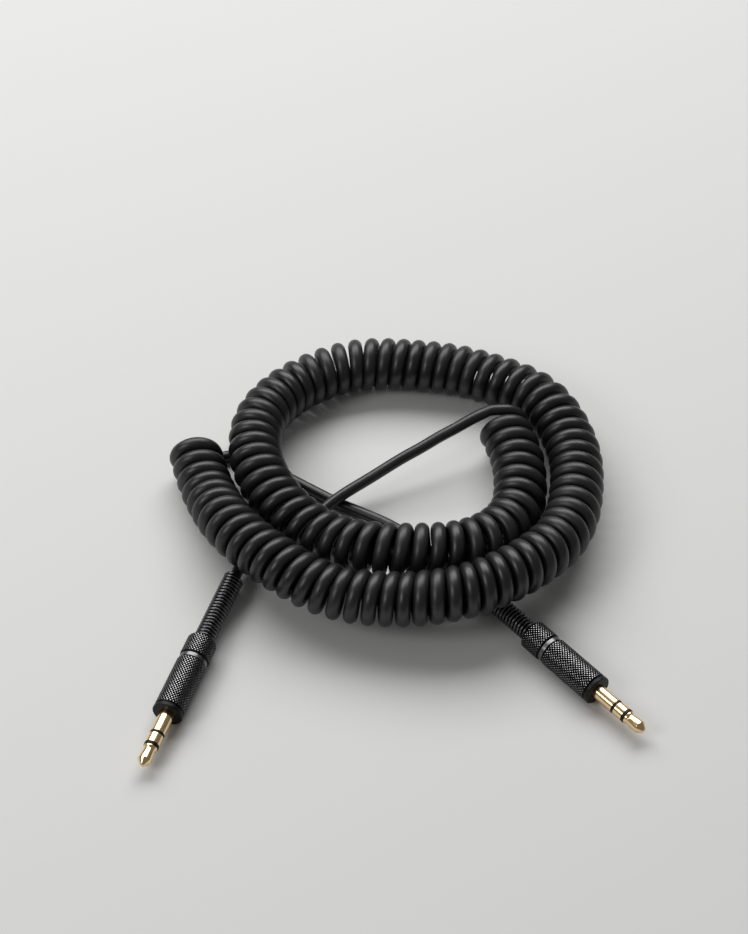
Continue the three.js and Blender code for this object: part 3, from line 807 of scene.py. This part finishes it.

# Lighter metal on the knurl's points, which paints a glint on each of them.
glinting_points_material, glinting_points_shader = new_material("painted_glint_knurl_points", (0.39, 0.39, 0.395), metallic=1.0)
glinting_points_cloud = add_noise(glinting_points_material, scale=1400, detail=2)
spread_colour(glinting_points_material, glinting_points_cloud, glinting_points_shader, (0.28, 0.28, 0.285), (0.5, 0.5, 0.51), 0.3, 0.7)
spread_roughness(glinting_points_material, glinting_points_cloud, glinting_points_shader, 0.16, 0.26)

barrel_rear, barrel_front, shell_radius, barrel_bore = reach("barrel")
groove_radius = shell_radius - KNURL_DEPTH
barrel = turned_and_knurled(
    "knurled_barrel",
    before=[
        (barrel_front, barrel_bore),
        (barrel_front, groove_radius - MOUTH_CHAMFER / 2),
        (barrel_front - MOUTH_CHAMFER / 2, groove_radius),
    ],
    knurled=knurled_rows(barrel_front - MOUTH_CHAMFER / 2, barrel_rear + MOUTH_CHAMFER / 2, groove_radius),
    after=[
        (barrel_rear, groove_radius - MOUTH_CHAMFER / 2),
        (barrel_rear, barrel_bore),
        (barrel_front, barrel_bore),
    ],
)
put_on_plugs(barrel, "barrel", "shell")


# ---- The bright band ------------------------------------------------------------------------------
# A polished steel ring, pinched between the barrel and the rear cap, a little lower than the knurl's
# points. It shows as one bright line round the shell.
BAND_DROP = 0.25 * MM
BAND_EASE = 0.06 * MM

steel_material, steel_shader = new_material("polished_steel", (0.16, 0.16, 0.165), metallic=1.0)
steel_lines = add_noise(steel_material, scale=22, detail=3, coordinates="UV", stretch=(1, 0, 0))
spread_colour(steel_material, steel_lines, steel_shader, (0.13, 0.13, 0.135), (0.19, 0.19, 0.195))
spread_roughness(steel_material, steel_lines, steel_shader, 0.26, 0.34)
add_bump(steel_material, steel_lines, steel_shader, height=0.002 * MM, strength=0.15)

band_rear, band_front, _, band_bore = reach("band_ring")
band_radius = shell_radius - BAND_DROP
band = turned("polished_band", [
    (band_rear, band_bore),
    (band_rear, band_radius),
    (band_front, band_radius),
    (band_front, band_bore),
    (band_rear, band_bore),
])
ease_edges(band, BAND_EASE)
shade(band)
map_turning(band)
band.data.materials.append(steel_material)
put_on_plugs(band, "band_ring", "shell")


# ---- The rear cap ---------------------------------------------------------------------------------
# The short rear part of the shell, knurled and anodised like the barrel. Its neck is pressed into the
# barrel, and a lip inside holds the spring's front end in a pocket.
LIP_LENGTH = 0.5 * MM
POCKET_LENGTH = 3.7 * MM
CAP_CHAMFER = 0.5 * MM

cap_rear = reach("rear_cap")[0]
pocket_radius = reach("spring")[2] + FIT
cap_front = band_rear - FIT
neck_front = reach("rear_cap")[1]
neck_radius = barrel_bore - FIT
neck_bore = math.hypot(clamp_radius, half_strip) + 2 * FIT
cord_bore = reach("rear_cap")[3]
lip_rear = cap_rear + POCKET_LENGTH
lip_front = lip_rear + LIP_LENGTH
rear_cap = turned_and_knurled(
    "knurled_rear_cap",
    before=[
        (neck_front, neck_bore),
        (neck_front, neck_radius),
        (cap_front, neck_radius),
        (cap_front, groove_radius - MOUTH_CHAMFER / 2),
        (cap_front - MOUTH_CHAMFER / 2, groove_radius),
    ],
    knurled=knurled_rows(cap_front - MOUTH_CHAMFER / 2, cap_rear + CAP_CHAMFER, groove_radius),
    after=[
        (cap_rear, groove_radius - CAP_CHAMFER),
        (cap_rear, pocket_radius),
        (lip_rear, pocket_radius),
        (lip_rear, cord_bore),
        (lip_front, cord_bore),
        (lip_front, neck_bore),
        (neck_front, neck_bore),
    ],
)
put_on_plugs(rear_cap, "rear_cap", "shell")


# ---- The cord guard -------------------------------------------------------------------------------
# A coil of black oxided spring wire that stands in the rear cap's pocket and stops the cord from
# kinking where it leaves the plug.
WIRE_DIAMETER = 0.75 * MM
WIRE_SIDES = 12
SPRING_TURNS = 24
STEPS_A_TURN = 32

oxide_material, oxide_shader = new_material("black_oxide_wire", (0.105, 0.105, 0.107), metallic=1.0)
oxide_cloud = add_noise(oxide_material, scale=900, detail=3)
spread_colour(oxide_material, oxide_cloud, oxide_shader, (0.08, 0.08, 0.083), (0.13, 0.13, 0.134))
spread_roughness(oxide_material, oxide_cloud, oxide_shader, 0.2, 0.3)

spring_rear, spring_front, spring_radius, _ = reach("spring")
wire_radius = WIRE_DIAMETER / 2
deselect_all()
bpy.ops.mesh.primitive_circle_add(
    vertices=WIRE_SIDES, radius=wire_radius, rotation=(math.pi / 2, 0, 0),
    location=(spring_rear + wire_radius, 0, spring_radius - wire_radius))
bpy.ops.object.transform_apply(location=True, rotation=True, scale=True)
spring = bpy.context.object
spring.name = "wound_spring"
winding = spring.modifiers.new("winding", "SCREW")
winding.axis = "X"
winding.screw_offset = (spring_front - spring_rear - WIRE_DIAMETER) / SPRING_TURNS
winding.iterations = SPRING_TURNS
winding.steps = STEPS_A_TURN
winding.render_steps = STEPS_A_TURN
apply_modifier(spring, winding)
bpy.ops.object.mode_set(mode="EDIT")
bpy.ops.mesh.select_all(action="SELECT")
bpy.ops.mesh.fill_holes(sides=WIRE_SIDES)
spring = close_shape("wound_spring")
shade(spring)
spring.data.materials.append(oxide_material)
put_on_plugs(spring, "spring", "strain_relief")


# ---- Inside the shell -----------------------------------------------------------------------------
# A milky plastic tube keeps the solder joints off the barrel. Three insulated wires with bare, tinned
# ends run from the cord's jacket to the tip's lug, the ring's lug and the ground strip.
LEAD_THICKNESS = 0.7 * MM
BARE_THICKNESS = 0.35 * MM
BARE_END = 0.9 * MM  # its length
LEAD_SIDES = 4  # Blender's bevel steps on each quarter of the round wire
WIRE_COLOURS = {
    "tip": ("red_insulation", (0.45, 0.02, 0.02), (0.52, 0.03, 0.03), "wire_red"),
    "ring": ("white_insulation", (0.70, 0.70, 0.67), (0.80, 0.80, 0.77), "wire_white"),
    "ground": ("green_insulation", (0.02, 0.12, 0.04), (0.03, 0.16, 0.05), "wire_green"),
}

milky_material, milky_shader = new_material("milky_plastic", (0.72, 0.72, 0.69))
milky_cloud = add_noise(milky_material, scale=300, detail=3)
spread_colour(milky_material, milky_cloud, milky_shader, (0.66, 0.66, 0.63), (0.76, 0.76, 0.74))
spread_roughness(milky_material, milky_cloud, milky_shader, 0.3, 0.42)

liner_rear, liner_front, liner_radius, liner_bore = reach("liner")
liner = turned("liner_tube", [
    (liner_rear, liner_bore),
    (liner_rear, liner_radius),
    (liner_front, liner_radius),
    (liner_front, liner_bore),
    (liner_rear, liner_bore),
])
ease_edges(liner, FINE_EDGE)
shade(liner)
liner.data.materials.append(milky_material)
put_on_plugs(liner, "liner", "lead")

tinned_material, tinned_shader = new_material("tinned_copper", (0.62, 0.60, 0.57), metallic=1.0)
tinned_cloud = add_noise(tinned_material, scale=1500, detail=3)
spread_colour(tinned_material, tinned_cloud, tinned_shader, (0.55, 0.53, 0.50), (0.68, 0.66, 0.63))
spread_roughness(tinned_material, tinned_cloud, tinned_shader, 0.3, 0.45)


def wire_ends(use):
    """The middles of a wire's two end faces, in its plug's own coordinates."""
    corners = [LEFT_TO_PLUG @ corner.co for corner in frame["nodes"][f"left_{use}_wire"].data.vertices]
    ends = []
    for x in (min(corner.x for corner in corners), max(corner.x for corner in corners)):
        ring_of_corners = [corner for corner in corners if abs(corner.x - x) < FIT]
        ends.append(sum(ring_of_corners, Vector()) / len(ring_of_corners))
    return ends


def swept_wire(name, start, end, thickness):
    """A round wire on a smooth double bend from start to end, as the current object."""
    path = bpy.data.curves.new(name, "CURVE")
    path.dimensions = "3D"
    path.bevel_depth = thickness / 2
    path.bevel_resolution = LEAD_SIDES
    path.use_fill_caps = True
    bends = path.splines.new("BEZIER")
    bends.bezier_points.add(1)
    third = Vector(((end.x - start.x) / 3, 0, 0))
    for point, place in zip(bends.bezier_points, (start, end)):
        point.co = place
        point.handle_left = place - third
        point.handle_right = place + third
    wire = bpy.data.objects.new(name, path)
    bpy.context.scene.collection.objects.link(wire)
    deselect_all()
    wire.select_set(True)
    bpy.context.view_layer.objects.active = wire
    bpy.ops.object.convert(target="MESH")
    return bpy.context.object


for use, (insulation, dark, light, slot) in WIRE_COLOURS.items():
    wire_material, wire_shader = new_material(insulation, light)
    wire_cloud = add_noise(wire_material, scale=500, detail=3)
    spread_colour(wire_material, wire_cloud, wire_shader, dark, light)
    spread_roughness(wire_material, wire_cloud, wire_shader, 0.42, 0.55)
    wire_start, wire_end = wire_ends(use)
    cut = wire_end - Vector((BARE_END, 0, 0))
    insulated = swept_wire(f"{use}_lead", wire_start, cut, LEAD_THICKNESS)
    insulated.data.materials.append(wire_material)
    bare = swept_wire("bare_end", cut, wire_end, BARE_THICKNESS)
    bare.data.materials.append(tinned_material)
    insulated.select_set(True)
    bpy.context.view_layer.objects.active = insulated
    bpy.ops.object.join()
    shade(insulated)
    put_on_plugs(insulated, f"{use}_wire", "lead")
